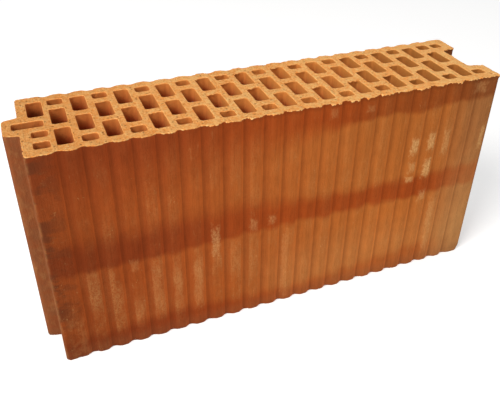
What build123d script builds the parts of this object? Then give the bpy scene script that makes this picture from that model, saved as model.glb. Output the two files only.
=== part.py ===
from build123d import *
import math
import os

os.makedirs("parts", exist_ok=True)

# Perforated partition block, one fired piece. Millimetres.
# X runs along the length: the tongue is at -X and the groove at +X.
# Y runs through the thickness: the waved faces look to -Y and +Y. Z is up.
# The origin is the middle of the bounding box's bottom face.

# Body
body_length = 498.0
thickness = 115.0
height = 249.0
body_corner_radius = 4.5

# Tongue on the left end
tongue_length = 14.0
tongue_base_width = 36.0
tongue_tip_width = 30.0
tongue_tip_radius = 5.0
tongue_root_radius = 2.0

# Groove in the right end
groove_depth = 18.0
groove_mouth_width = 52.0
groove_floor_width = 46.0
groove_floor_radius = 4.0
groove_lip_radius = 2.0

# Upright waves on both long faces: each valley falls off quickly and rises slowly
valley_depth = 2.9
valley_fall = 7.0
valley_rise = 9.0
slope_facets = 4
valley_pitch = 21.15
first_valley = 27.8
last_panel_min = 24.0

# Columns of perforations, counted from the tongue end. The first one keeps its own distance.
pitch = 21.3
first_column = 16.8
second_column = 36.3
last_column_min = 14.4
hole_width = 14.3
long_hole = 31.2
short_hole = 12.4
hole_radius = 2.8
long_hole_shell = 12.2
short_hole_shell = 11.2

# Tongue slot and the short hole beside it, in the first column
slot_length = 27.8
slot_width = 12.2
slot_centre = 8.1
stub_hole = 11.4
stub_hole_centre = 20.3

# Short holes in the two ears beside the groove
ear_hole_width = 12.8
ear_hole_length = 11.0
ear_hole_inset = 17.7
ear_hole_shell = 12.3

overall_length = body_length + tongue_length
left_end = -overall_length / 2 + tongue_length
right_end = overall_length / 2
face = thickness / 2
small = 1e-6

last_column = 1 + int((body_length - second_column - last_column_min) / pitch + small)
valleys = int((body_length - first_valley - last_panel_min) / valley_pitch + small) + 1
web = (thickness - long_hole_shell - short_hole_shell - 2 * long_hole - short_hole) / 2

# Row centres in the columns whose short hole is at the front. The other columns mirror them.
outer_long_y = face - long_hole_shell - long_hole / 2
inner_long_y = outer_long_y - long_hole - web
short_y = -face + short_hole_shell + short_hole / 2


def column_x(index):
    """Centre of a column of perforations, the first one left out."""
    return left_end + second_column + (index - 1) * pitch


def side_of(index):
    """+1 where the short hole is at the front, -1 where it is at the back."""
    return 1 - 2 * (index % 2)


def long_face(side):
    """The waved outline of one long face, left to right."""
    points = []
    for index in range(valleys):
        bottom = left_end + first_valley + index * valley_pitch
        for step in range(-slope_facets, slope_facets + 1):
            share = step / slope_facets
            x = bottom + share * (valley_fall if step < 0 else valley_rise)
            drop = valley_depth * (1 + math.cos(math.pi * share)) / 2
            points.append((x, side * (face - drop)))
    return points


def at_points(vertices, points):
    """The vertices that stand on the given corner points."""
    wanted = {(round(x, 3), round(y, 3)) for x, y in points}
    return [v for v in vertices if (round(v.X, 3), round(v.Y, 3)) in wanted]


body_corners = [(left_end, -face), (right_end, -face), (right_end, face), (left_end, face)]
groove_lips = [(right_end, -groove_mouth_width / 2), (right_end, groove_mouth_width / 2)]
groove_floor = [
    (right_end - groove_depth, -groove_floor_width / 2),
    (right_end - groove_depth, groove_floor_width / 2),
]
tongue_roots = [(left_end, tongue_base_width / 2), (left_end, -tongue_base_width / 2)]
tongue_tips = [
    (left_end - tongue_length, tongue_tip_width / 2),
    (left_end - tongue_length, -tongue_tip_width / 2),
]
outline_points = (
    [body_corners[0]]
    + long_face(-1)
    + [body_corners[1], groove_lips[0]]
    + groove_floor
    + [groove_lips[1], body_corners[2]]
    + list(reversed(long_face(1)))
    + [body_corners[3], tongue_roots[0]]
    + tongue_tips
    + [tongue_roots[1]]
)
rounded_corners = [
    (body_corners, body_corner_radius),
    (groove_lips, groove_lip_radius),
    (groove_floor, groove_floor_radius),
    (tongue_roots, tongue_root_radius),
    (tongue_tips, tongue_tip_radius),
]

inner_columns = range(1, last_column)
first_x = left_end + first_column
long_centres = [(first_x, outer_long_y)]
short_centres = [(first_x, short_y)]
for index in inner_columns:
    long_centres.append((column_x(index), side_of(index) * outer_long_y))
    long_centres.append((column_x(index), side_of(index) * inner_long_y))
    short_centres.append((column_x(index), side_of(index) * short_y))
stub_centres = [(first_x, -stub_hole_centre)]
slot_centres = [(left_end + slot_centre, 0)]
ear_y = face - ear_hole_shell - ear_hole_length / 2
ear_centres = [(right_end - ear_hole_inset, ear_y), (right_end - ear_hole_inset, -ear_y)]

perforations = [
    (long_centres, hole_width, long_hole),
    (short_centres, hole_width, short_hole),
    (stub_centres, hole_width, stub_hole),
    (slot_centres, slot_length, slot_width),
    (ear_centres, ear_hole_width, ear_hole_length),
]

with BuildPart() as clay_block:
    with BuildSketch(Plane.XY) as section:
        with BuildLine():
            Polyline(*outline_points, close=True)
        make_face()
        for points, radius in rounded_corners:
            fillet(at_points(section.vertices(), points), radius=radius)
        for centres, width, length in perforations:
            with Locations(*centres):
                RectangleRounded(width, length, hole_radius, mode=Mode.SUBTRACT)
    extrude(amount=height)

clay_block.part.label = "clay_block"
export_step(clay_block.part, "parts/clay_block.step")
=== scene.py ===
import math
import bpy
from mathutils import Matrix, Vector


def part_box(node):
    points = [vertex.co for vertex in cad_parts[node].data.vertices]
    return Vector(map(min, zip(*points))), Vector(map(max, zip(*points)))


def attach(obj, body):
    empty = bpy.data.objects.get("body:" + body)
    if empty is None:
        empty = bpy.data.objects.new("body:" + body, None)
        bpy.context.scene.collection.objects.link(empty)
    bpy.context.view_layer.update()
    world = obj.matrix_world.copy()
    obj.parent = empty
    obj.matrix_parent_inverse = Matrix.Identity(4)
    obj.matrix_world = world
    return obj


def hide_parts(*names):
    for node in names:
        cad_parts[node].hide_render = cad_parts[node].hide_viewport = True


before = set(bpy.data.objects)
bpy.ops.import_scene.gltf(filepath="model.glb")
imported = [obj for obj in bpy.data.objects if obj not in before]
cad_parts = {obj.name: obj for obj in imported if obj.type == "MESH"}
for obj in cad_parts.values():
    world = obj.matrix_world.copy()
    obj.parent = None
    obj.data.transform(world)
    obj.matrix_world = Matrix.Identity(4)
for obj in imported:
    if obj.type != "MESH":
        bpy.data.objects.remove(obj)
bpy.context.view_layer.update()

from types import SimpleNamespace

import bpy

bl_info = {
    "name": "Perforated clay block",
    "version": (1, 0, 0),
    "blender": (4, 5, 0),
    "location": "3D View > Sidebar > Clay block",
    "description": "Builds a fired clay partition block with waved faces and upright perforations",
    "category": "Add Mesh",
}

CAD_NODE = "clay_block"
BODY = "root"
LOW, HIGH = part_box(CAD_NODE)
TONGUE = 0.014
FEWEST_FACES = 1000


# ---- sizes and colours

def length(name, description, default):
    """A size in metres."""
    return bpy.props.FloatProperty(name=name, description=description, default=default,
                                   subtype="DISTANCE", unit="LENGTH", precision=5)


def colour(name, description, default):
    """A linear RGB colour."""
    return bpy.props.FloatVectorProperty(name=name, description=description, default=default,
                                         subtype="COLOR", size=3, min=0.0, max=1.0)


def amount(name, description, default):
    """A plain number."""
    return bpy.props.FloatProperty(name=name, description=description, default=default)


def whole(name, description, default, least=0):
    """A whole number."""
    return bpy.props.IntProperty(name=name, description=description, default=default, min=least)


def vector(name, description, default, **kind):
    """A place or a turn."""
    return bpy.props.FloatVectorProperty(name=name, description=description, default=default, size=3, **kind)


class BlockSizes(bpy.types.PropertyGroup):
    """Sizes of the block's section and of its surface relief."""
    height: length("Height", "Bed face to bed face", HIGH[2] - LOW[2])
    left_face: length("Left face", "Where the body starts, right of the tongue", LOW[0] + TONGUE)
    right_face: length("Right face", "Where the body ends, at the tips of the ears", HIGH[0])
    half_thickness: length("Half thickness", "Middle plane to the rib tips", HIGH[1])
    corner_radius: length("Corner radius", "Upright corners of the body", 0.0045)
    tongue_length: length("Tongue length", "How far the tongue stands out", TONGUE)
    tongue_base: length("Tongue base", "Width of the tongue at its root", 0.036)
    tongue_tip: length("Tongue tip", "Width of the tongue at its tip", 0.030)
    tongue_radius: length("Tongue radius", "Corners of the tongue", 0.005)
    tongue_root_radius: length("Tongue root radius", "Hollow corners beside the tongue", 0.002)
    groove_depth: length("Groove depth", "How far the groove goes in", 0.018)
    groove_mouth: length("Groove mouth", "Width of the groove at the ears", 0.052)
    groove_floor: length("Groove floor", "Width of the groove at its floor", 0.046)
    groove_radius: length("Groove radius", "Hollow corners of the groove", 0.004)
    ear_radius: length("Ear radius", "Inner corners of the ears", 0.002)
    valley_depth: length("Valley depth", "Depth of the valleys between the ribs", 0.0029)
    valley_fall: length("Valley fall", "Rib to the valley's bottom, on its left", 0.007)
    valley_rise: length("Valley rise", "The valley's bottom to the next rib, on its right", 0.009)
    valley_pitch: length("Valley pitch", "From one valley to the next", 0.02115)
    first_valley: length("First valley", "Left face to the first valley's middle", 0.0278)
    last_valley: whole("Last valley", "Number of the last valley, counted from 0", 21, 1)
    pitch: length("Column pitch", "From one column of perforations to the next", 0.0213)
    first_column: length("First column", "Left face to the first column's middle", 0.0168)
    second_column: length("Second column", "Left face to the second column's middle", 0.0363)
    inner_columns: whole("Inner columns", "Columns with three perforations each", 21, 1)
    hole_width: length("Hole width", "Along the block", 0.0143)
    long_hole: length("Long hole", "Through the thickness", 0.0312)
    short_hole: length("Short hole", "Through the thickness", 0.0124)
    hole_radius: length("Hole radius", "Corners of the perforations", 0.0028)
    outer_row: length("Outer row", "Middle plane to the outer long holes", 0.0297)
    inner_row: length("Inner row", "Middle plane to the inner long holes", -0.0099)
    short_row: length("Short row", "Middle plane to the short holes", -0.0401)
    slot_length: length("Slot length", "Slot that runs into the tongue", 0.0278)
    slot_width: length("Slot width", "Slot that runs into the tongue", 0.0122)
    slot_place: length("Slot place", "Left face to the slot's middle", 0.0081)
    stub_hole: length("Stub hole", "Short hole beside the slot", 0.0114)
    stub_row: length("Stub row", "Middle plane to the stub hole", -0.0203)
    ear_hole_width: length("Ear hole width", "Along the block", 0.0128)
    ear_hole: length("Ear hole", "Through the thickness", 0.011)
    ear_inset: length("Ear inset", "Ear tips to the ear holes' middle", 0.0177)
    ear_row: length("Ear row", "Middle plane to the ear holes", 0.0397)
    rim_spacing: length("Rim spacing", "Distance between points along every rim", 0.00105)
    lip_reach: length("Lip reach", "Longest clay lip dragged over a back rim", 0.0048)
    rim_wear: length("Rim wear", "Rounding of the rims", 0.00045)
    chip_depth: length("Chip depth", "Deepest chip in the outer top edge", 0.0013)
    corner_knock: length("Corner knock", "How far the groove end's bottom corners are knocked off", 0.0022)
    drip_reach: length("Drip reach", "How far torn clay hangs over the outer top edge", 0.0013)
    wall_waver: length("Wall waver", "How far the walls wander", 0.0005)
    bed_waver: length("Bed waver", "How far the cut faces wander", 0.0003)
    crumb_size: length("Crumb size", "Radius of a common clay crumb", 0.00042)
    crumb_density: amount("Crumb density", "Crumbs per square metre of rim", 24000.0)
    seed: whole("Seed", "Fixes the lips, chips and crumbs", 7)


class BlockColours(bpy.types.PropertyGroup):
    """Colours of the fired clay."""
    cut_light: colour("Cut face, light", "Pale cut clay and worn rims", (1.0, 0.590, 0.217))
    cut_mid: colour("Cut face, middle", "Common cut clay", (0.95, 0.330, 0.069))
    # The dark cut colour serves the dark grains and the painted shade in the pits
    cut_dark: colour("Cut face, dark", "Grains and pits", (0.20, 0.052, 0.013))
    tan_left: colour("Skin, tan, tongue end", "Fired skin between the bands", (0.318, 0.0648, 0.0121))
    tan_right: colour("Skin, tan, groove end", "Fired skin between the bands", (0.425, 0.1235, 0.0228))
    tan_end: colour("Skin, tan, last ribs", "Greyer skin beside the groove end", (0.355, 0.134, 0.040))
    red_left: colour("Skin, red, tongue end", "Deep red bands", (0.217, 0.0367, 0.0077))
    red_right: colour("Skin, red, groove end", "Deep red bands", (0.3135, 0.055, 0.0083))
    face_dark: colour("Skin, dark", "Dark blotches near the tongue end", (0.120, 0.030, 0.010))
    end_brown: colour("End face, brown", "Greyish skin on the end faces", (0.235, 0.085, 0.033))
    dust: colour("Dust", "Pale dust and scuffs", (0.60, 0.330, 0.115))
    scuff: colour("Scuff", "Pale rubbed marks and flecks", (0.70, 0.385, 0.145))
    # Hole wall colours: the light and the dark one are a lit and a shaded copy of the wall, the dark one
    # being painted shade further in and partly the clay's darker tone near the tongue
    bore_light: colour("Hole wall, light", "Hole walls near the cut face", (0.70, 0.265, 0.060))
    bore_olive: colour("Hole wall, olive", "Hole walls near the groove", (0.40, 0.155, 0.034))
    bore_dark: colour("Hole wall, dark", "Hole walls further in and near the tongue", (0.42, 0.080, 0.023))


class StageSettings(bpy.types.PropertyGroup):
    """Camera, lamps and floor."""
    eye: vector("Eye", "Camera position", (-0.2290, -0.5271, 0.5201), subtype="TRANSLATION", unit="LENGTH")
    aim: vector("Aim", "Camera turn", tuple(map(math.radians, (57.805, -1.522, -22.865))), subtype="EULER")
    lens: amount("Lens", "Focal length in millimetres on a 36 mm wide sensor", 44.11)
    shift_x: amount("Shift X", "Sideways lens shift", -0.0355)
    shift_y: amount("Shift Y", "Upright lens shift", -0.0761)
    floor_size: length("Floor size", "Side of the floor", 14.0)
    ambient: amount("Ambient", "Strength of the light from all round", 0.46)
    key_power: amount("Key power", "Power of the lamp above the left", 54.5)
    fill_power: amount("Fill power", "Power of the lamp in front", 11.0)


# ---- wiring helpers

class Wiring:
    """Adds nodes to a node tree and joins them."""

    def __init__(self, tree):
        self.tree = tree

    def slot_of(self, sockets, key):
        """The socket in use with that name."""
        for socket in sockets:
            if socket.name == key and socket.enabled and not socket.is_unavailable:
                return socket
        raise KeyError(f"no socket {key} among {[s.name for s in sockets]}")

    def add(self, kind, values=None, **settings):
        """A new node with its settings, input values and links."""
        node = self.tree.nodes.new(kind)
        for name, value in settings.items():
            setattr(node, name, value)
        self.fill(node, values or {})
        return node

    def fill(self, node, values):
        """Sets or links a node's inputs by name."""
        for key, value in values.items():
            self.feed(self.slot_of(node.inputs, key), value)

    def geo(self, kind, values=None, **settings):
        """A geometry node's first output."""
        return self.add("GeometryNode" + kind, values, **settings).outputs[0]

    def feed(self, socket, value):
        """Links a socket, or sets a plain value on it."""
        if isinstance(value, bpy.types.Node):
            value = self.first(value)
        if isinstance(value, bpy.types.NodeSocket):
            self.tree.links.new(value, socket)
        else:
            socket.default_value = value

    def first(self, node):
        """A node's first output in use."""
        for socket in node.outputs:
            if socket.enabled and not socket.is_unavailable:
                return socket
        raise KeyError("node has no output")

    def math(self, operation, *values):
        """A maths node's result."""
        node = self.add("ShaderNodeMath", operation=operation)
        for index, value in enumerate(values):
            self.feed(node.inputs[index], value)
        return node.outputs[0]

    def fold(self, operation, values):
        """Several numbers taken together, from the left, by one operation."""
        total = values[0]
        for value in values[1:]:
            total = self.math(operation, total, value)
        return total

    def add_up(self, *values):
        """The sum of several numbers."""
        return self.fold("ADD", values)

    def times(self, *values):
        """The product of several numbers."""
        return self.fold("MULTIPLY", values)

    def most(self, *values):
        """The largest of several numbers."""
        return self.fold("MAXIMUM", values)

    def least(self, *values):
        """The smallest of several numbers."""
        return self.fold("MINIMUM", values)

    def minus(self, a, b):
        """A less b."""
        return self.math("SUBTRACT", a, b)

    def over(self, a, b):
        """A divided by b."""
        return self.math("DIVIDE", a, b)

    def lift(self, base, value, gain):
        """A base with a share of a value on top."""
        return self.add_up(base, self.times(value, gain))

    def ramp(self, value, low, high):
        """0 below low, 1 above high, smooth between. Low may be the larger."""
        node = self.add("ShaderNodeMapRange", interpolation_type="SMOOTHSTEP")
        rising = low < high
        limits = (value, min(low, high), max(low, high), float(not rising), float(rising))
        for index, limit in enumerate(limits):
            self.feed(node.inputs[index], limit)
        return node.outputs[0]

    def stretch(self, vector, scale):
        """A vector with each part scaled."""
        node = self.add("ShaderNodeVectorMath", operation="MULTIPLY")
        self.feed(node.inputs[0], vector)
        self.feed(node.inputs[1], scale)
        return node.outputs[0]

    def noise(self, vector, scale, detail=2.0, rough=0.55, distortion=0.0):
        """Smooth noise around a half."""
        node = self.add("ShaderNodeTexNoise", noise_dimensions="3D")
        self.fill(node, {"Vector": vector, "Scale": scale, "Detail": detail, "Roughness": rough,
                         "Distortion": distortion})
        return node.outputs[0]

    def parts(self, vector):
        """X, Y and Z of a vector."""
        node = self.add("ShaderNodeSeparateXYZ")
        self.feed(node.inputs[0], vector)
        return node.outputs[0], node.outputs[1], node.outputs[2]

    def join_parts(self, x, y, z):
        """A vector from X, Y and Z."""
        node = self.add("ShaderNodeCombineXYZ")
        for index, value in enumerate((x, y, z)):
            self.feed(node.inputs[index], value)
        return node.outputs[0]


# ---- block shape

def rounded_outline(corners, steps=6):
    """A closed outline of points from corners given as (x, y, radius)."""
    points = []
    count = len(corners)
    for index, (x, y, radius) in enumerate(corners):
        if radius <= 0.0:
            points.append((x, y))
            continue
        before = corners[index - 1]
        after = corners[(index + 1) % count]
        to_before = (before[0] - x, before[1] - y)
        to_after = (after[0] - x, after[1] - y)
        long_before = math.hypot(*to_before)
        long_after = math.hypot(*to_after)
        u = (to_before[0] / long_before, to_before[1] / long_before)
        v = (to_after[0] / long_after, to_after[1] / long_after)
        angle = math.acos(max(-1.0, min(1.0, u[0] * v[0] + u[1] * v[1])))
        reach = radius / math.tan(angle / 2)
        middle = (u[0] + v[0], u[1] + v[1])
        size = math.hypot(*middle)
        far = radius / math.sin(angle / 2)
        centre = (x + middle[0] / size * far, y + middle[1] / size * far)
        start = (x + u[0] * reach, y + u[1] * reach)
        end = (x + v[0] * reach, y + v[1] * reach)
        first = math.atan2(start[1] - centre[1], start[0] - centre[0])
        last = math.atan2(end[1] - centre[1], end[0] - centre[0])
        turn = (last - first + math.pi) % (2 * math.pi) - math.pi
        for step in range(steps + 1):
            bearing = first + turn * step / steps
            points.append((centre[0] + radius * math.cos(bearing), centre[1] + radius * math.sin(bearing)))
    return points


def outline_mesh(sizes):
    """The body's outer outline, without its waves, as a closed loop of edges."""
    left = sizes.left_face
    right = sizes.right_face
    face = sizes.half_thickness
    floor = right - sizes.groove_depth
    tip = left - sizes.tongue_length
    corners = [
        (left, -face, sizes.corner_radius),
        (right, -face, sizes.corner_radius),
        (right, -sizes.groove_mouth / 2, sizes.ear_radius),
        (floor, -sizes.groove_floor / 2, sizes.groove_radius),
        (floor, sizes.groove_floor / 2, sizes.groove_radius),
        (right, sizes.groove_mouth / 2, sizes.ear_radius),
        (right, face, sizes.corner_radius),
        (left, face, sizes.corner_radius),
        (left, sizes.tongue_base / 2, sizes.tongue_root_radius),
        (tip, sizes.tongue_tip / 2, sizes.tongue_radius),
        (tip, -sizes.tongue_tip / 2, sizes.tongue_radius),
        (left, -sizes.tongue_base / 2, sizes.tongue_root_radius),
    ]
    points = rounded_outline(corners)
    count = len(points)
    mesh = bpy.data.meshes.new("outline")
    mesh.from_pydata([(x, y, 0.0) for x, y in points], [(i, (i + 1) % count) for i in range(count)], [])
    return mesh


# Rings of points round the walls: depth under the top face, and height over the bottom face
TOP_RINGS = (0.0, 0.0007, 0.0015, 0.0025, 0.0042, 0.0105)
FOOT_RINGS = (0.0, 0.0015, 0.008)
MIDDLE_BANDS = 4
MERGE_DISTANCE = 0.00001

# A stored flag counts above FLAG, a face is a cut face when its normal's Z is above CAP_NORMAL,
# and a point stands on a long face when it is within FACE_TOLERANCE of it
FLAG = 0.5
CAP_NORMAL = 0.7
FACE_TOLERANCE = 0.0003

# The share of a full lip that each kind of perforation gets, and how far lips differ in size and in the
# place where they end
LONG_LIP, SHORT_LIP, STUB_LIP, SLOT_LIP, EAR_LIP = 1.0, 0.60, 0.45, 0.35, 0.45
LIP_SIZES = (0.25, 1.0)
LIP_ENDS = (-0.55, 0.75)
LIP_END_SEED, CRUMB_SHAPE_SEED = 11.0, 3.0
TORN_SCALE = 170.0

# Where along the block the lips grow to full length and where the top edge starts to tear, how far up
# and along the knocked bottom corners reach, and how far wear runs past the first ring
LIP_GROWTH = (-0.15, -0.02)
TEAR_GROWTH = (-0.20, 0.0)
KNOCK_HEIGHT, KNOCK_LENGTH = 0.007, 0.008
WEAR_PAST = 1.05

# Crumbs: how deep the rim is that carries them, how far they sink, and their turn and shape
CRUMB_RIM = 0.0012
CRUMB_SINK = (0.0, 0.0, -0.0004)
CRUMB_TURN = (6.28, 6.28, 6.28)
CRUMB_LEAST = (0.5, 0.5, 0.4)
CRUMB_MOST = (1.5, 1.3, 0.9)

# Sizes that only the outline reads
OUTLINE_SIZES = ("corner_radius", "tongue_base", "tongue_tip", "tongue_radius", "tongue_root_radius",
                 "groove_depth", "groove_mouth", "groove_floor", "groove_radius", "ear_radius")


def tree_values(sizes):
    """The value of every input of the block's node tree."""
    values = {name: getattr(sizes, name) for name in BlockSizes.__annotations__ if name not in OUTLINE_SIZES}
    values["first_valley"] += sizes.left_face
    values["last_valley"] = float(sizes.last_valley)
    return values


def tree_input(tree, name, value):
    """A named input of a node tree."""
    kind = "NodeSocketInt" if isinstance(value, int) else "NodeSocketFloat"
    label = name.replace("_", " ").capitalize()
    socket = tree.interface.new_socket(label, in_out="INPUT", socket_type=kind)
    socket.default_value = value
    return socket.identifier


def off_valley(w, x, first_valley, last_valley, pitch):
    """How far x lies from the bottom of the nearest valley."""
    along = w.over(w.minus(x, first_valley), pitch)
    number = w.least(w.most(w.math("ROUND", along), 0.0), last_valley)
    return w.times(w.minus(along, number), pitch)


def wave_drop(w, size, x):
    """How far the waved face lies under the rib tips at x."""
    off_bottom = off_valley(w, x, size.first_valley, size.last_valley, size.valley_pitch)
    share = w.most(w.over(off_bottom, size.valley_rise),
                   w.over(off_bottom, w.times(size.valley_fall, -1.0)))
    cosine = w.math("COSINE", w.times(w.least(share, 1.0), math.pi))
    return w.times(size.valley_depth, 0.5, w.add_up(cosine, 1.0))


def hole_curve(w, width, length_, radius, lip_share):
    """A rounded rectangle, with each point's place across it and the share of a full lip it gets stored."""
    rectangle = w.add("GeometryNodeCurvePrimitiveQuadrilateral", mode="RECTANGLE")
    w.feed(rectangle.inputs["Width"], width)
    w.feed(rectangle.inputs["Height"], length_)
    rounded = w.add("GeometryNodeFilletCurve", {"Curve": rectangle.outputs[0], "Count": 5, "Radius": radius,
                                                "Limit Radius": True}, mode="POLY")
    x = w.parts(w.geo("InputPosition"))[0]
    across = w.over(x, w.times(width, 0.5))
    return store(w, store(w, rounded, "across", across), "lip_share", lip_share)


def store(w, geometry, name, value, kind="FLOAT", domain="POINT"):
    """The geometry with a named value stored on it."""
    return w.geo("StoreNamedAttribute", {"Geometry": geometry, "Name": name, "Value": value},
                 data_type=kind, domain=domain)


def stored(w, name, kind="FLOAT"):
    """A value stored on the geometry."""
    return w.first(w.add("GeometryNodeInputNamedAttribute", {"Name": name}, data_type=kind))


def random_between(w, low, high, key, seed):
    """A random number for each key."""
    return w.first(w.add("FunctionNodeRandomValue", {"Min": low, "Max": high, "ID": key, "Seed": seed},
                         data_type="FLOAT"))


def moved(w, geometry, offset):
    """The geometry with its points moved by a field."""
    return w.geo("SetPosition", {"Geometry": geometry, "Offset": offset})


def perforation_curves(w, size):
    """Every perforation's rim, flat, with its lip size stored."""
    seed = size.seed
    long_curve = hole_curve(w, size.hole_width, size.long_hole, size.hole_radius, LONG_LIP)
    short_curve = hole_curve(w, size.hole_width, size.short_hole, size.hole_radius, SHORT_LIP)
    stub_curve = hole_curve(w, size.hole_width, size.stub_hole, size.hole_radius, STUB_LIP)
    slot_curve = hole_curve(w, size.slot_length, size.slot_width, size.hole_radius, SLOT_LIP)
    ear_curve = hole_curve(w, size.ear_hole_width, size.ear_hole, size.hole_radius, EAR_LIP)
    first_x = w.add_up(size.left_face, size.first_column)
    start = w.join_parts(w.add_up(size.left_face, size.second_column), 0.0, 0.0)
    step = w.join_parts(size.pitch, 0.0, 0.0)
    columns = w.add("GeometryNodeMeshLine", mode="OFFSET", count_mode="TOTAL")
    w.fill(columns, {"Count": size.inner_columns, "Start Location": start, "Offset": step})
    index = w.geo("InputIndex")
    odd = w.math("MODULO", w.add_up(index, 1.0), 2.0)
    side = w.minus(1.0, w.times(odd, 2.0))
    pieces = []
    for curve, row in ((long_curve, "outer_row"), (long_curve, "inner_row"), (short_curve, "short_row")):
        points = moved(w, columns.outputs[0], w.join_parts(0.0, w.times(side, getattr(size, row)), 0.0))
        pieces.append(w.geo("InstanceOnPoints", {"Points": points, "Instance": curve}))
    ear_x = w.minus(size.right_face, size.ear_inset)
    singles = (
        (long_curve, first_x, size.outer_row),
        (short_curve, first_x, size.short_row),
        (stub_curve, first_x, size.stub_row),
        (slot_curve, w.add_up(size.left_face, size.slot_place), 0.0),
        (ear_curve, ear_x, size.ear_row),
        (ear_curve, ear_x, w.times(size.ear_row, -1.0)),
    )
    for curve, x, y in singles:
        pieces.append(w.geo("Transform", {"Geometry": curve, "Translation": w.join_parts(x, y, 0.0)}))
    whole = w.geo("RealizeInstances", {"Geometry": joined(w, *pieces)})
    even = w.geo("ResampleCurve", {"Curve": whole, "Length": size.rim_spacing}, mode="LENGTH")
    curve_index = w.geo("CurveOfPoint")
    lip = w.times(random_between(w, *LIP_SIZES, curve_index, seed), stored(w, "lip_share"))
    turn = random_between(w, *LIP_ENDS, curve_index, w.add_up(seed, LIP_END_SEED))
    named = store(w, store(w, even, "lip_size", lip), "lip_end", turn)
    return store(w, named, "bore", 1.0)


def relief(w, size, block):
    """The block with its lips, worn rims, torn edges, chips and wavering walls."""
    place = w.geo("InputPosition")
    x, _, z = w.parts(place)
    flat_place = w.stretch(place, (1.0, 1.0, 0.0))
    bore = stored(w, "bore")
    outside = w.minus(1.0, bore)
    out = stored(w, "out", "FLOAT_VECTOR")
    out_y = w.parts(out)[1]
    depth = w.minus(size.height, z)

    facing = w.ramp(w.times(out_y, -1.0), 0.30, 0.95)
    lumps = w.ramp(w.noise(flat_place, 330.0, 4.0, 0.70), 0.40, 0.62)
    broad = w.ramp(w.noise(flat_place, 100.0, 2.0), 0.38, 0.62)
    across = w.minus(stored(w, "lip_end"), stored(w, "across"))
    left_part = w.lift(0.22, w.ramp(across, -0.25, 0.30), 0.78)
    growth = w.lift(0.34, w.ramp(x, *LIP_GROWTH), 0.66)
    torn = w.add_up(0.08, w.times(lumps, 0.62), w.times(broad, 0.30))
    lip_fade = w.ramp(depth, TOP_RINGS[4], TOP_RINGS[1] * 0.8)
    lip = w.times(size.lip_reach, stored(w, "lip_size"), left_part, growth, torn, facing, bore, lip_fade)

    worn = w.add_up(0.45, w.noise(place, 210.0, 3.0, 0.6))
    near_rim = w.most(w.ramp(depth, TOP_RINGS[1] * WEAR_PAST, 0.0), w.ramp(z, FOOT_RINGS[1] * WEAR_PAST, 0.0))
    wear = w.times(size.rim_wear, worn, near_rim)
    bite = w.ramp(w.noise(w.stretch(place, (1.0, 1.0, 0.35)), 165.0, 3.0, 0.62), 0.54, 0.72)
    chip_fade = w.most(w.ramp(depth, TOP_RINGS[3], 0.0), w.ramp(z, FOOT_RINGS[1], 0.0))
    chip = w.times(size.chip_depth, bite, chip_fade, outside)
    knock = w.times(size.corner_knock, outside, w.ramp(z, KNOCK_HEIGHT, 0.0),
                    w.ramp(w.minus(size.right_face, x), KNOCK_LENGTH, 0.0))
    wander = w.noise(w.stretch(place, (1.0, 1.0, 0.16)), 34.0, 2.0)
    fine = w.noise(w.stretch(place, (1.0, 1.0, 0.25)), 150.0, 2.0)
    sway = w.add_up(w.times(wander, 0.75), w.times(fine, 0.45), w.times(bore, -0.60))
    edge = w.noise(flat_place, TORN_SCALE, 4.0, 0.65)
    drip_reach = w.times(w.ramp(edge, 0.44, 0.68), w.ramp(x, *TEAR_GROWTH))
    drip = w.times(size.drip_reach, drip_reach, w.ramp(depth, TOP_RINGS[4], TOP_RINGS[2]), outside)
    inward = w.add_up(wear, chip, knock, w.times(size.wall_waver, sway), w.times(drip, -1.0))
    shift = w.stretch(out, w.join_parts(*[w.times(inward, -1.0)] * 3))

    bed = w.times(size.bed_waver, w.noise(place, 46.0, 3.0, 0.6))
    rise = w.minus(w.times(bed, w.ramp(z, FOOT_RINGS[1] / 2, 0.0)),
                   w.times(bed, w.ramp(depth, TOP_RINGS[1] / 2, 0.0)))
    total = w.add("ShaderNodeVectorMath", operation="ADD")
    w.feed(total.inputs[0], shift)
    w.feed(total.inputs[1], w.join_parts(0.0, w.times(lip, -1.0), rise))
    return moved(w, block, total.outputs[0])


def kept_inside(w, size, geometry):
    """The geometry with every point held inside the block's own box."""
    x, y, z = w.parts(w.geo("InputPosition"))
    face = size.half_thickness
    tip = w.minus(size.left_face, size.tongue_length)
    held_x = w.least(w.most(x, tip), size.right_face)
    held_y = w.least(w.most(y, w.times(face, -1.0)), face)
    held_z = w.least(w.most(z, 0.0), size.height)
    place = w.join_parts(held_x, held_y, held_z)
    return w.geo("SetPosition", {"Geometry": geometry, "Position": place})


def crumbs(w, size, block):
    """Clay crumbs on the rims of the top bed face."""
    seed = size.seed
    place = w.geo("InputPosition")
    depth = w.minus(size.height, w.parts(place)[2])
    top_rim = w.math("LESS_THAN", depth, CRUMB_RIM)
    clumps = w.ramp(w.noise(place, 60.0, 2.0), 0.42, 0.66)
    wall = w.math("LESS_THAN", stored(w, "cap"), FLAG)
    density = w.times(size.crumb_density, clumps, top_rim, wall)
    points = w.add("GeometryNodeDistributePointsOnFaces", {"Mesh": block, "Density": density, "Seed": seed},
                   distribute_method="RANDOM")
    crumb = w.add("GeometryNodeMeshIcoSphere", {"Radius": size.crumb_size, "Subdivisions": 1})
    spin = w.add("FunctionNodeRandomValue", data_type="FLOAT_VECTOR")
    lump = w.add("FunctionNodeRandomValue", data_type="FLOAT_VECTOR")
    w.fill(spin, {"Max": CRUMB_TURN, "Seed": seed})
    w.fill(lump, {"Min": CRUMB_LEAST, "Max": CRUMB_MOST, "Seed": w.add_up(seed, CRUMB_SHAPE_SEED)})
    lowered = moved(w, points.outputs[0], CRUMB_SINK)
    placed = w.add("GeometryNodeInstanceOnPoints", {"Points": lowered, "Instance": crumb, "Rotation": spin,
                                                    "Scale": lump})
    real = w.geo("RealizeInstances", {"Geometry": placed})
    return store(w, real, "crumb", 1.0, domain="FACE")


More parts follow.
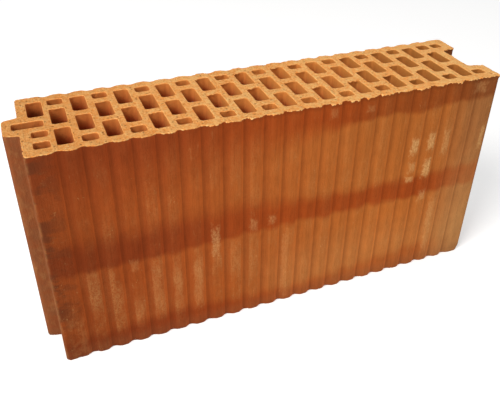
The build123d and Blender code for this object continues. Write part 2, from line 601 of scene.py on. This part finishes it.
def taken_from(w, source, value, place=None, kind="FLOAT"):
    """The value at the source's point nearest to each point, or nearest to a given place."""
    nearest = w.add("GeometryNodeSampleNearest", {"Geometry": source, **(place or {})}, domain="POINT")
    return w.add("GeometryNodeSampleIndex", {"Geometry": source, "Value": value, "Index": nearest},
                 data_type=kind, domain="POINT")


def joined(w, *pieces):
    """Several geometries as one."""
    joint = w.add("GeometryNodeJoinGeometry")
    for piece in reversed(pieces):
        w.tree.links.new(piece, joint.inputs[0])
    return joint.outputs[0]


def block_tree(values, finishes):
    """The node tree that makes the block from its outline, and its inputs' identifiers by name."""
    tree = bpy.data.node_groups.new("perforated_block", "GeometryNodeTree")
    tree.interface.new_socket("Outline", in_out="INPUT", socket_type="NodeSocketGeometry")
    identifiers = {name: tree_input(tree, name, value) for name, value in values.items()}
    tree.interface.new_socket("Block", in_out="OUTPUT", socket_type="NodeSocketGeometry")
    w = Wiring(tree)
    source = w.add("NodeGroupInput")
    by_id = {socket.identifier: socket for socket in source.outputs}
    size = SimpleNamespace(**{name: by_id[key] for name, key in identifiers.items()})

    outline = w.geo("MeshToCurve", {"Mesh": source.outputs[0]})
    outline = w.geo("ResampleCurve", {"Curve": outline, "Length": size.rim_spacing}, mode="LENGTH")
    x, y, _ = w.parts(w.geo("InputPosition"))
    on_face = w.math("GREATER_THAN", w.math("ABSOLUTE", y), w.minus(size.half_thickness, FACE_TOLERANCE))
    drop = wave_drop(w, size, x)
    shift = w.times(drop, on_face, w.math("SIGN", y), -1.0)
    outline = moved(w, outline, w.join_parts(0.0, shift, 0.0))
    outline = store(w, outline, "bore", 0.0)

    curves = joined(w, outline, perforation_curves(w, size))
    rims = w.geo("CurveToMesh", {"Curve": curves})
    flat = w.geo("FillCurve", {"Curve": curves}, mode="TRIANGLES")

    tall = w.minus(size.height, TOP_RINGS[-1] + FOOT_RINGS[-1])
    steps = [high - low for low, high in zip(FOOT_RINGS, FOOT_RINGS[1:])]
    steps += [w.times(tall, 1.0 / MIDDLE_BANDS)] * MIDDLE_BANDS
    steps += [high - low for low, high in zip(TOP_RINGS, TOP_RINGS[1:])][::-1]
    grown = flat
    top = None
    for step in steps:
        selection = {} if top is None else {"Selection": top}
        extrude = w.add("GeometryNodeExtrudeMesh", {
            "Mesh": grown, "Offset": (0.0, 0.0, 1.0), "Offset Scale": step, "Individual": False, **selection,
        }, mode="FACES")
        grown, top = extrude.outputs[:2]
    under = w.geo("FlipFaces", {"Mesh": flat})
    closed = joined(w, grown, under)
    block = w.geo("MergeByDistance", {"Geometry": closed, "Distance": MERGE_DISTANCE})

    normal_z = w.parts(w.geo("InputNormal"))[2]
    cap = w.math("GREATER_THAN", w.math("ABSOLUTE", normal_z), CAP_NORMAL)
    block = store(w, block, "cap", cap, domain="FACE")
    is_wall = w.math("LESS_THAN", stored(w, "cap"), FLAG)
    walls = w.geo("SeparateGeometry", {"Geometry": block, "Selection": is_wall}, domain="FACE")
    normal = w.add("GeometryNodeInputNormal")
    out = taken_from(w, walls, normal, kind="FLOAT_VECTOR")
    block = store(w, block, "out", out, "FLOAT_VECTOR")
    x, y, _ = w.parts(w.geo("InputPosition"))
    below = {"Sample Position": w.join_parts(x, y, 0.0)}
    for name in ("bore", "across", "lip_size", "lip_end"):
        block = store(w, block, name, taken_from(w, rims, stored(w, name), below))

    shaped = relief(w, size, block)
    smooth = w.geo("SetShadeSmooth", {"Geometry": shaped, "Shade Smooth": is_wall})
    whole = joined(w, smooth, crumbs(w, size, smooth))
    dressed = w.geo("RealizeInstances", {"Geometry": kept_inside(w, size, whole)})
    is_bore = w.math("GREATER_THAN", stored(w, "bore"), FLAG)
    is_cut = w.math("GREATER_THAN", w.add_up(stored(w, "cap"), stored(w, "crumb")), FLAG)
    for name, chosen in (("face", True), ("bore", is_bore), ("cut", is_cut)):
        choice = {"Geometry": dressed, "Selection": chosen, "Material": finishes[name]}
        dressed = w.geo("SetMaterial", choice)
    sink = w.add("NodeGroupOutput")
    w.tree.links.new(dressed, sink.inputs[0])
    return tree, identifiers


# ---- clay finishes

NOISES = {
    # scale, detail, roughness, how much each axis is scaled first, and distortion
    "cut grain": (450.0, 4.0, 0.78),
    "cut coarse": (190.0, 3.0, 0.65),
    "cut stain": (24.0, 3.0, 0.6),
    "cut drag": (480.0, 2.0, 0.6, (1.0, 0.07, 1.0)),
    "bore drag": (420.0, 3.0, 0.6, (1.0, 1.0, 0.035)),
    "bore mottle": (70.0, 3.0, 0.6),
    "bore grain": (600.0, 3.0, 0.7),
    "streak": (330.0, 4.0, 0.65, (1.0, 1.0, 0.07)),
    "cloud": (11.0, 2.0, 0.55, (1.0, 1.0, 0.7)),
    "ripple": (42.0, 3.0, 0.6),
    "grain": (620.0, 3.0, 0.7),
    "mottle": (120.0, 4.0, 0.68, (1.0, 1.0, 0.6)),
    "blotch": (62.0, 3.0, 0.55, (0.7, 1.0, 1.3)),
    "end mottle": (85.0, 4.0, 0.68),
    "crease patches": (90.0, 3.0, 0.6, (0.3, 1.0, 0.25)),
    "powder": (34.0, 4.0, 0.65, (1.0, 1.0, 0.5)),
    "scuff edge": (260.0, 5.0, 0.85, (1.0, 1.0, 0.7)),
    "scuff grain": (760.0, 3.0, 0.8, (1.0, 1.0, 0.5)),
    "lines": (620.0, 2.0, 0.6, (1.0, 1.0, 0.14), 0.8),
    "line patches": (38.0, 2.0, 0.55),
    "flecks": (360.0, 4.0, 0.8, (1.0, 1.0, 0.55), 1.2),
    "fleck patches": (30.0, 2.0, 0.55),
    "scratches": (190.0, 2.0, 0.5, (0.35, 1.0, 1.6), 2.5),
    "scratch patches": (75.0, 2.0, 0.55),
    "torn edge": (TORN_SCALE, 4.0, 0.65, (1.0, 1.0, 0.0)),
    "snags": (420.0, 3.0, 0.7, (1.0, 1.0, 0.6)),
}
SCUFFS = (
    # along, up, half width, half height and strength of each pale scuff on the front face
    (0.1565, 0.178, 0.0055, 0.011, 0.95), (0.178, 0.180, 0.0055, 0.012, 0.85),
    (0.198, 0.175, 0.0045, 0.017, 0.45), (0.178, 0.146, 0.0055, 0.013, 0.95),
    (0.157, 0.150, 0.0055, 0.008, 0.55), (0.156, 0.134, 0.0055, 0.004, 0.70),
    (0.178, 0.107, 0.0055, 0.008, 0.45), (0.196, 0.070, 0.0045, 0.026, 0.35),
    (0.197, 0.032, 0.0040, 0.018, 0.30), (0.248, 0.172, 0.0035, 0.016, 0.60),
    (0.232, 0.237, 0.0090, 0.007, 0.26), (0.050, 0.238, 0.0045, 0.006, 0.20),
    (0.093, 0.236, 0.0050, 0.004, 0.20), (-0.077, 0.110, 0.0048, 0.021, 0.50),
    (-0.035, 0.122, 0.0045, 0.008, 0.32), (-0.014, 0.123, 0.0045, 0.006, 0.30),
    (-0.097, 0.060, 0.0055, 0.036, 0.27), (-0.142, 0.066, 0.0045, 0.036, 0.14),
    (-0.162, 0.106, 0.0045, 0.008, 0.18), (-0.162, 0.040, 0.0045, 0.024, 0.09),
    (-0.204, 0.085, 0.0060, 0.026, 0.05), (-0.119, 0.070, 0.0045, 0.038, 0.17),
    (0.003, 0.056, 0.0042, 0.048, 0.20),
)
FRONT_ONLY = -0.050
CUT_ROUGHNESS, SKIN_ROUGHNESS = 0.92, 0.85
LITTLE_SHINE = 0.05
SPECK_EDGE = 0.55
MIX_SHARE, MIX_A, MIX_B, MIX_RESULT = 0, 6, 7, 2


class Finish(Wiring):
    """A procedural clay material on Object coordinates."""

    def __init__(self, name, roughness):
        material = bpy.data.materials.new(name)
        material.use_nodes = True
        super().__init__(material.node_tree)
        self.material = material
        self.shader = self.tree.nodes["Principled BSDF"]
        self.shader.inputs["Roughness"].default_value = roughness
        self.shader.inputs["Specular IOR Level"].default_value = LITTLE_SHINE
        self.place = self.add("ShaderNodeTexCoord").outputs["Object"]
        self.x, self.y, self.z = self.parts(self.place)
        self.made = {}

    def pattern(self, name):
        """One of the noises in NOISES, on the object's own place."""
        if name not in self.made:
            scale, detail, rough, *more = NOISES[name]
            place = self.stretch(self.place, more[0]) if more else self.place
            self.made[name] = self.noise(place, scale, detail, rough, *more[1:])
        return self.made[name]

    def mix(self, share, a, b):
        """Colour a turned into colour b by a share."""
        node = self.add("ShaderNodeMix", data_type="RGBA", blend_type="MIX", clamp_factor=True)
        self.feed(node.inputs[MIX_SHARE], share)
        for index, paint in ((MIX_A, a), (MIX_B, b)):
            is_socket = isinstance(paint, bpy.types.NodeSocket)
            self.feed(node.inputs[index], paint if is_socket else (*paint, 1.0))
        return node.outputs[MIX_RESULT]

    def shade(self, paint, factor):
        """A colour made lighter or darker by a factor."""
        node = self.add("ShaderNodeVectorMath", {"Vector": paint, "Scale": factor}, operation="SCALE")
        return node.outputs[0]

    def tones(self, base, *rows):
        """A base changed along the block. A row is x from, x to, the change, and more shares of it."""
        total = base
        for start, end, change, *shares in rows:
            total = self.add_up(total, self.times(self.ramp(self.x, start, end), *shares, change))
        return total

    def speck(self, scale, chance, reach):
        """Scattered round specks: 1 inside, 0 between."""
        cells = self.add("ShaderNodeTexVoronoi", {"Vector": self.place, "Scale": scale}, feature="F1",
                         voronoi_dimensions="3D")
        pick = self.parts(cells.outputs["Color"])[0]
        chosen = self.math("GREATER_THAN", pick, 1.0 - chance)
        return self.times(self.ramp(cells.outputs["Distance"], reach, reach * SPECK_EDGE), chosen)

    def bump(self, *layers):
        """Relief in metres from several (height, depth) layers."""
        total = self.add_up(*[self.times(value, depth) for value, depth in layers])
        node = self.add("ShaderNodeBump", {"Strength": 1.0, "Distance": 1.0, "Height": total})
        self.feed(self.shader.inputs["Normal"], node.outputs[0])

    def paint(self, paint):
        """Sets the colour of the clay."""
        self.feed(self.shader.inputs["Base Color"], paint)


def cut_finish(c):
    """Pale, grainy clay of the wire-cut bed faces."""
    f = Finish("cut_clay", CUT_ROUGHNESS)
    grain = f.pattern("cut grain")
    coarse = f.pattern("cut coarse")
    drag = f.pattern("cut drag")
    pits = f.speck(330.0, 0.15, 0.36)
    grit = f.speck(430.0, 0.26, 0.42)
    light = f.add_up(f.times(f.ramp(grain, 0.43, 0.57), 0.46), f.times(f.ramp(coarse, 0.42, 0.58), 0.34),
                     f.times(f.ramp(f.pattern("cut stain"), 0.36, 0.64), 0.20))
    body = f.mix(light, c.cut_mid, c.cut_light)
    body = f.shade(body, f.lift(0.94, drag, 0.12))
    body = f.mix(f.times(f.ramp(grain, 0.46, 0.34), 0.46), body, c.cut_dark)
    body = f.mix(f.times(grit, 0.45), body, c.cut_light)
    # Painted shade: the pits, pressed in by the bump, are darkened with the dark cut colour
    body = f.mix(f.times(pits, f.tones(0.38, (-0.12, -0.20, 0.34))), body, c.cut_dark)
    body = f.mix(f.times(f.ramp(f.x, -0.02, -0.20), 0.26), body, c.cut_mid)
    body = f.mix(f.times(f.ramp(f.x, 0.12, 0.22), 0.22), body, c.cut_light)
    f.paint(f.shade(body, f.tones(1.0, (-0.08, -0.25, -0.15), (-0.01, 0.09, 0.07))))
    f.bump((grain, 0.0021), (coarse, 0.0032), (drag, 0.0004), (pits, -0.0016))
    return f.material


def red_bands(f, height, last_ribs):
    """The top, middle and low red bands: the share of red, and the top and the middle band alone."""
    left = f.ramp(f.x, 0.09, -0.10)
    top_low = f.add_up(0.2190, f.times(left, -0.056),
                       f.times(f.ramp(f.x, 0.03, 0.06), f.ramp(f.x, 0.125, 0.105), -0.004))
    top = f.ramp(f.over(f.minus(height, top_low), f.lift(0.0085, left, 0.080)), 0.0, 1.0)
    middle_high = f.lift(0.1440, left, 0.018)
    middle_low = f.times(f.ramp(f.x, -0.16, -0.10), -0.0014)
    middle = f.times(f.ramp(f.over(f.minus(middle_high, height), f.lift(0.017, left, 0.012)), 0.0, 1.0),
                     f.ramp(f.minus(height, middle_low), 0.1065, 0.1155))
    low_high = f.tones(0.036, (-0.11, -0.04, -0.005), (0.07, 0.13, 0.008))
    low = f.ramp(f.over(f.minus(low_high, height), 0.019), 0.0, 1.0)
    low_share = f.tones(0.90, (-0.08, 0.0, -0.22), (0.02, 0.12, -0.13), (0.18, 0.235, -0.40))
    red = f.most(f.times(top, f.tones(0.95, (0.05, 0.14, -0.27))), f.times(middle, 0.95),
                 f.times(low, low_share))
    return f.times(red, f.minus(1.0, f.times(last_ribs, 0.25))), top, middle


def banded_skin(f, c, sizes, height):
    """The skin's red and tan bands, with the tone of each place and rib, a painted shade that darkens the
    face towards its top at the groove end, and the share of red.
    """
    last_ribs = f.ramp(f.x, 0.180, 0.245)
    red, top, middle = red_bands(f, height, last_ribs)
    tan = f.mix(f.ramp(f.x, -0.22, 0.16), c.tan_left, c.tan_right)
    tan = f.mix(last_ribs, tan, c.tan_end)
    tan = f.mix(f.times(f.ramp(f.z, 0.100, 0.040), f.ramp(f.x, -0.06, 0.02), 0.13), tan, c.dust)
    body = f.mix(red, tan, f.mix(f.ramp(f.x, -0.17, 0.02), c.red_left, c.red_right))
    body = f.shade(body, f.tones(
        1.0,
        (-0.165, -0.205, -0.12),
        (-0.13, -0.17, -0.08, f.ramp(f.z, 0.195, 0.165)),
        # Painted shade: towards the groove end the face is darkened towards its top
        (0.02, 0.13, -0.13, f.ramp(f.z, 0.09, 0.215)),
        (0.02, 0.16, -0.13, top),
        (0.19, 0.22, -0.11, top),
        (-0.02, 0.06, -0.02, middle),
    ))
    body = f.mix(f.times(last_ribs, f.ramp(f.z, 0.165, 0.105), 0.17), body, c.dust)
    body = f.mix(f.times(f.ramp(f.z, 0.020, 0.006), 0.30), body, c.end_brown)
    first_rib = sizes.left_face + sizes.first_valley + 0.5 * sizes.valley_pitch
    rib = f.math("ROUND", f.over(f.minus(f.x, first_rib), sizes.valley_pitch))
    own = f.noise(f.join_parts(f.times(rib, 3.71), 0.5, f.times(f.z, 5.0)), 1.0, 1.0)
    body = f.shade(body, f.lift(0.92, own, 0.16))
    worn = f.add_up(0.62, f.times(f.pattern("mottle"), 0.40), f.times(f.pattern("streak"), 0.36))
    return f.shade(body, worn), red


def panel_and_ends(f, c, body, panel):
    """Dark blotches and a dusty foot on the first panel, a paler line along the corner beside it, and browner
    end faces.
    """
    mottle = f.pattern("mottle")
    blotch = f.ramp(f.pattern("blotch"), 0.46, 0.60)
    rim_side = f.ramp(f.x, -0.222, -0.240)
    blotches = f.add_up(0.10, f.times(blotch, f.lift(0.30, rim_side, 0.30)), f.times(rim_side, 0.24))
    fading = f.lift(1.0, f.ramp(f.z, 0.075, 0.035), -0.60)
    body = f.mix(f.times(panel, blotches, fading), body, c.face_dark)
    foot = f.times(panel, f.ramp(f.z, 0.095, 0.050), f.ramp(f.x, -0.2375, -0.2300),
                   f.ramp(mottle, 0.38, 0.60), 0.10)
    body = f.mix(foot, body, c.dust)
    ends = f.most(f.ramp(f.x, -0.2400, -0.2418), f.ramp(f.x, 0.2545, 0.2558))
    end_mottle = f.ramp(f.pattern("end mottle"), 0.32, 0.68)
    end_colour = f.mix(f.times(end_mottle, 0.32), c.end_brown, c.red_right)
    end_colour = f.mix(f.times(f.ramp(mottle, 0.48, 0.70), 0.16), end_colour, c.dust)
    body = f.mix(f.times(ends, 0.85), body, end_colour)
    corner = f.times(f.ramp(f.x, -0.2388, -0.2402), f.ramp(f.y, -0.0543, -0.0558),
                     f.ramp(f.x, -0.2421, -0.2414))
    return f.mix(f.times(corner, f.ramp(mottle, 0.36, 0.64), 0.15), body, c.dust)


def creases(f, c, body, off, waved):
    """Painted shade that darkens and reddens the creases in the valleys, a painted highlight where each rib
    falls into the valley on its left, and painted shade that dims the slope rising out of it on the right.
    """
    patchy = f.lift(0.45, f.pattern("crease patches"), 0.9)
    # Painted shade: a dark, reddened line at the bottom of each valley, in patches
    crease_shade = f.times(f.ramp(off, -0.0021, -0.0013), f.ramp(off, 0.0034, -0.0010), waved, patchy)
    # Painted highlight: the slope falling into each valley from the left is lightened against its shading
    shoulder_highlight = f.times(f.ramp(off, -0.0072, -0.0040), f.ramp(off, -0.0009, -0.0019), waved)
    # Painted shade: the slope rising out of each valley is dimmed, and reddened towards the tongue end
    rise = f.times(f.ramp(off, -0.0004, 0.0012), f.ramp(off, 0.0080, 0.0042), waved)
    body = f.shade(body, f.add_up(1.0, f.times(crease_shade, f.tones(-0.10, (-0.06, 0.06, 0.05))),
                                  f.times(shoulder_highlight, f.tones(0.36, (-0.06, 0.06, 0.07))),
                                  f.times(rise, f.tones(-0.045, (-0.11, -0.17, -0.06)))))
    body = f.mix(f.times(crease_shade, 0.14), body, c.red_left)
    return f.mix(f.times(rise, f.ramp(f.x, 0.06, -0.06), 0.18), body, c.red_left)


def scuff_mask(f):
    """How strongly the listed scuffs of the front face show, ragged and drawn out upright."""
    wobble = f.times(f.minus(f.pattern("scuff edge"), 0.5), 2.6)
    spots = []
    for along, up, half_width, half_height, strength in SCUFFS:
        across = f.math("ABSOLUTE", f.over(f.minus(f.x, along), half_width))
        rise = f.math("ABSOLUTE", f.over(f.minus(f.z, up), half_height))
        spots.append(f.times(f.ramp(f.add_up(f.most(across, rise), wobble), 1.15, 0.45), strength))
    return f.times(f.most(*spots), f.math("LESS_THAN", f.y, FRONT_ONLY))


def pale_marks(f, plateau, low_left, clean, panel):
    """Scuffs, upright lines and flecks on the ribs, and scratches on the first panel."""
    off_panel = f.minus(1.0, panel)
    scuff = f.times(scuff_mask(f), f.lift(0.30, f.ramp(f.pattern("scuff grain"), 0.38, 0.62), 0.70), 0.90)
    lines = f.times(f.ramp(f.pattern("lines"), 0.60, 0.68), f.ramp(f.pattern("line patches"), 0.52, 0.64),
                    plateau, off_panel, 0.12)
    fleck = f.times(f.ramp(f.pattern("flecks"), 0.605, 0.665), f.ramp(f.pattern("fleck patches"), 0.46, 0.60),
                    plateau, clean, f.lift(0.30, low_left, 0.22))
    hair = f.pattern("scratches")
    scratch = f.times(f.ramp(hair, 0.492, 0.500), f.ramp(hair, 0.512, 0.503),
                      f.ramp(f.pattern("scratch patches"), 0.50, 0.60), panel, 0.22)
    return f.most(scuff, lines, f.most(fleck, scratch))


def torn_edge(f, c, sizes, body):
    """A pale torn line along the top edge with a soft shade under it, and the share of the pale line."""
    snag = f.pattern("snags")
    edge_depth = f.minus(sizes.height, f.z)
    right_part = f.ramp(f.x, -0.14, 0.02)
    reach = f.add_up(0.0005,
                     f.times(f.ramp(f.pattern("torn edge"), 0.44, 0.72), f.lift(0.0006, right_part, 0.0017)),
                     f.times(f.minus(snag, 0.5), f.lift(0.0008, right_part, 0.0014)))
    past_reach = f.minus(edge_depth, reach)
    pale = f.ramp(past_reach, 0.0004, -0.0003)
    body = f.mix(f.times(pale, 0.85), body, f.mix(f.ramp(snag, 0.40, 0.62), c.cut_mid, c.cut_light))
    under = f.times(f.ramp(past_reach, -0.0002, 0.0004), f.ramp(edge_depth, 0.0065, 0.002), right_part)
    return f.shade(body, f.minus(1.0, f.times(under, 0.18))), pale


def face_finish(c, sizes):
    """Fired skin of the waved faces and the ends, built up layer by layer."""
    f = Finish("fired_skin", SKIN_ROUGHNESS)
    height = f.add_up(f.z, f.times(f.minus(f.pattern("cloud"), 0.5), 0.018),
                      f.times(f.minus(f.pattern("ripple"), 0.5), 0.012))
    body, red = banded_skin(f, c, sizes, height)
    panel = f.times(f.ramp(f.x, -0.2155, -0.2200), f.ramp(f.x, -0.2425, -0.2405))
    body = panel_and_ends(f, c, body, panel)

    first_valley = sizes.left_face + sizes.first_valley
    off = off_valley(f, f.x, first_valley, float(sizes.last_valley), sizes.valley_pitch)
    waved = f.math("GREATER_THAN", f.math("ABSOLUTE", f.y), sizes.half_thickness - sizes.valley_depth - 0.001)
    body = creases(f, c, body, off, waved)
    plateau = f.times(f.most(f.ramp(off, 0.0046, 0.0062), f.ramp(off, -0.0036, -0.0046)), waved)
    low_left = f.times(f.ramp(f.x, 0.02, -0.08), f.ramp(height, 0.118, 0.095))
    clean = f.minus(1.0, f.times(red, 0.75))
    powder = f.times(f.ramp(f.pattern("powder"), 0.42, 0.62), clean, f.ramp(f.pattern("grain"), 0.34, 0.60),
                     f.lift(0.20, plateau, 0.80), f.lift(0.11, low_left, 0.15), f.minus(1.0, panel))
    body = f.mix(powder, body, c.dust)
    marks = pale_marks(f, plateau, low_left, clean, panel)
    body, pale = torn_edge(f, c, sizes, f.mix(marks, body, c.scuff))
    f.paint(body)
    f.bump((f.pattern("grain"), 0.0003), (f.pattern("streak"), 0.0006), (f.pattern("mottle"), 0.0010),
           (marks, 0.0003), (pale, 0.0005))
    return f.material


def bore_finish(c, sizes):
    """Smoother walls of the perforations, with pale worn rims and painted shade that darkens them further in.
    """
    f = Finish("hole_wall", SKIN_ROUGHNESS)
    drag = f.pattern("bore drag")
    mottle = f.pattern("bore mottle")
    grain = f.pattern("bore grain")
    depth = f.minus(sizes.height, f.z)
    along = f.ramp(f.x, -0.24, 0.04)
    # Painted shade: the walls darken with depth under the cut face, and more so towards the tongue end, where
    # the darkening is partly painted shade and partly the clay's own tone
    shallow = f.ramp(f.add_up(depth, f.times(f.minus(mottle, 0.5), 0.006)), 0.019, 0.002)
    share = f.add_up(f.times(shallow, f.lift(0.58, along, 0.30)), f.times(along, 0.12))
    body = f.mix(share, c.bore_dark, c.bore_light)
    uneven = f.add_up(0.68, f.times(mottle, 0.40), f.times(drag, 0.24))
    body = f.shade(body, f.tones(uneven, (0.06, 0.23, -0.20)))
    body = f.mix(f.times(f.ramp(f.x, 0.02, 0.18), 0.42), body, c.bore_olive)
    # Painted shade: the holes nearest the tongue are darkened further in
    first_holes_shade = f.times(f.ramp(f.x, -0.200, -0.212), f.ramp(depth, 0.003, 0.014), 0.30)
    body = f.shade(body, f.minus(1.0, first_holes_shade))
    rim = f.most(f.ramp(depth, 0.0008, 0.0002), f.ramp(f.z, 0.0008, 0.0002))
    f.paint(f.mix(f.times(rim, 0.9), body, f.mix(f.ramp(grain, 0.35, 0.65), c.cut_mid, c.cut_light)))
    f.bump((drag, 0.0005), (mottle, 0.0009), (grain, 0.0002))
    return f.material


FLOOR_GREY = 0.86
FLOOR_GLOW = 0.36
WHITE = (1.0, 1.0, 1.0, 1.0)


def floor_finish():
    """White floor that keeps the block's shadow and shows white to the camera."""
    material = bpy.data.materials.new("studio_floor")
    material.use_nodes = True
    w = Wiring(material.node_tree)
    shader = material.node_tree.nodes["Principled BSDF"]
    shader.inputs["Base Color"].default_value = (FLOOR_GREY, FLOOR_GREY, FLOOR_GREY, 1.0)
    shader.inputs["Roughness"].default_value = 1.0
    shader.inputs["Specular IOR Level"].default_value = 0.0
    path = w.add("ShaderNodeLightPath")
    seen = w.most(path.outputs["Is Camera Ray"], path.outputs["Is Glossy Ray"])
    shader.inputs["Emission Color"].default_value = WHITE
    w.feed(shader.inputs["Emission Strength"], w.times(seen, FLOOR_GLOW))
    return material


# ---- operators

class CLAY_OT_block(bpy.types.Operator):
    """Make the fired block from its outline with Geometry Nodes, and dress it"""
    bl_idname = "clay.block"
    bl_label = "Make the clay block"

    def execute(self, context):
        sizes = context.scene.clay_sizes
        colours = context.scene.clay_colours
        finishes = {
            "cut": cut_finish(colours),
            "face": face_finish(colours, sizes),
            "bore": bore_finish(colours, sizes),
        }
        values = tree_values(sizes)
        tree, identifiers = block_tree(values, finishes)
        carrier = bpy.data.objects.new("outline", outline_mesh(sizes))
        context.collection.objects.link(carrier)
        modifier = carrier.modifiers.new("block", "NODES")
        modifier.node_group = tree
        for name, value in values.items():
            modifier[identifiers[name]] = value
        context.view_layer.update()
        finished = carrier.evaluated_get(context.evaluated_depsgraph_get())
        mesh = bpy.data.meshes.new_from_object(finished)
        mesh.name = "fired_block"
        bpy.data.objects.remove(carrier)
        if len(mesh.polygons) < FEWEST_FACES:
            raise RuntimeError("the block came out empty")
        block = bpy.data.objects.new("fired_block", mesh)
        context.collection.objects.link(block)
        if mesh.materials[0] is None:
            mesh.materials.pop(index=0)
        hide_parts(CAD_NODE)
        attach(block, BODY)
        return {"FINISHED"}


# Side, place and colour of each square lamp, and the point they look at
KEY_LAMP = (1.1, (-1.65, -0.88, 2.05), (1.0, 0.985, 0.96))
FILL_LAMP = (1.4, (0.2, -2.4, 0.72), (1.0, 0.98, 0.95))
LAMP_TARGET = (0.0, 0.0, 0.12)
SENSOR_WIDTH = 36.0
CLIP_RANGE = (0.01, 60.0)


def area_lamp(context, name, power, size, place, tint):
    """A square soft lamp that looks at the middle of the block."""
    data = bpy.data.lights.new(name, "AREA")
    data.energy = power
    data.shape = "SQUARE"
    data.size = size
    data.color = tint
    lamp = bpy.data.objects.new(name, data)
    lamp.location = place
    x, y, z = [end - start for start, end in zip(place, LAMP_TARGET)]
    lamp.rotation_euler = (math.atan2(math.hypot(x, y), -z), 0.0, math.atan2(y, x) - math.pi / 2)
    context.collection.objects.link(lamp)


class CLAY_OT_stage(bpy.types.Operator):
    """Set up the floor, the lamps, the white surroundings and the camera"""
    bl_idname = "clay.stage"
    bl_label = "Set up the stage"

    def execute(self, context):
        settings = context.scene.clay_stage
        half = settings.floor_size / 2
        mesh = bpy.data.meshes.new("studio_floor")
        corners = [(-half, -half, 0.0), (half, -half, 0.0), (half, half, 0.0), (-half, half, 0.0)]
        mesh.from_pydata(corners, [], [(0, 1, 2, 3)])
        mesh.materials.append(floor_finish())
        floor = bpy.data.objects.new("studio_floor", mesh)
        context.collection.objects.link(floor)

        area_lamp(context, "key_lamp", settings.key_power, *KEY_LAMP)
        area_lamp(context, "fill_lamp", settings.fill_power, *FILL_LAMP)

        world = bpy.data.worlds.new("white_room")
        context.scene.world = world
        world.use_nodes = True
        w = Wiring(world.node_tree)
        background = world.node_tree.nodes["Background"]
        path = w.add("ShaderNodeLightPath")
        seen = w.most(*[path.outputs[f"Is {kind} Ray"] for kind in ("Camera", "Transmission", "Glossy")])
        strength = w.lift(settings.ambient, seen, 1.0 - settings.ambient)
        w.feed(background.inputs["Strength"], strength)
        background.inputs["Color"].default_value = WHITE

        data = bpy.data.cameras.new("photo_camera")
        data.sensor_fit = "HORIZONTAL"
        data.sensor_width = SENSOR_WIDTH
        data.lens = settings.lens
        data.shift_x = settings.shift_x
        data.shift_y = settings.shift_y
        data.clip_start, data.clip_end = CLIP_RANGE
        camera = bpy.data.objects.new("photo_camera", data)
        camera.location = settings.eye
        camera.rotation_euler = settings.aim
        context.collection.objects.link(camera)
        context.scene.camera = camera
        context.scene.view_settings.view_transform = "Standard"
        return {"FINISHED"}


class CLAY_PT_panel(bpy.types.Panel):
    """Lists the block's operators in the sidebar"""
    bl_idname = "CLAY_PT_panel"
    bl_label = "Clay block"
    bl_space_type = "VIEW_3D"
    bl_region_type = "UI"
    bl_category = "Clay block"

    def draw(self, context):
        layout = self.layout
        layout.operator(CLAY_OT_block.bl_idname)
        layout.operator(CLAY_OT_stage.bl_idname)


CLASSES = (BlockSizes, BlockColours, StageSettings, CLAY_OT_block, CLAY_OT_stage, CLAY_PT_panel)


def register():
    for item in CLASSES:
        bpy.utils.register_class(item)
    bpy.types.Scene.clay_sizes = bpy.props.PointerProperty(type=BlockSizes)
    bpy.types.Scene.clay_colours = bpy.props.PointerProperty(type=BlockColours)
    bpy.types.Scene.clay_stage = bpy.props.PointerProperty(type=StageSettings)


def unregister():
    del bpy.types.Scene.clay_stage
    del bpy.types.Scene.clay_colours
    del bpy.types.Scene.clay_sizes
    for item in reversed(CLASSES):
        bpy.utils.unregister_class(item)


def main():
    register()
    bpy.ops.clay.block()
    bpy.ops.clay.stage()


if __name__ == "__main__":
    main()
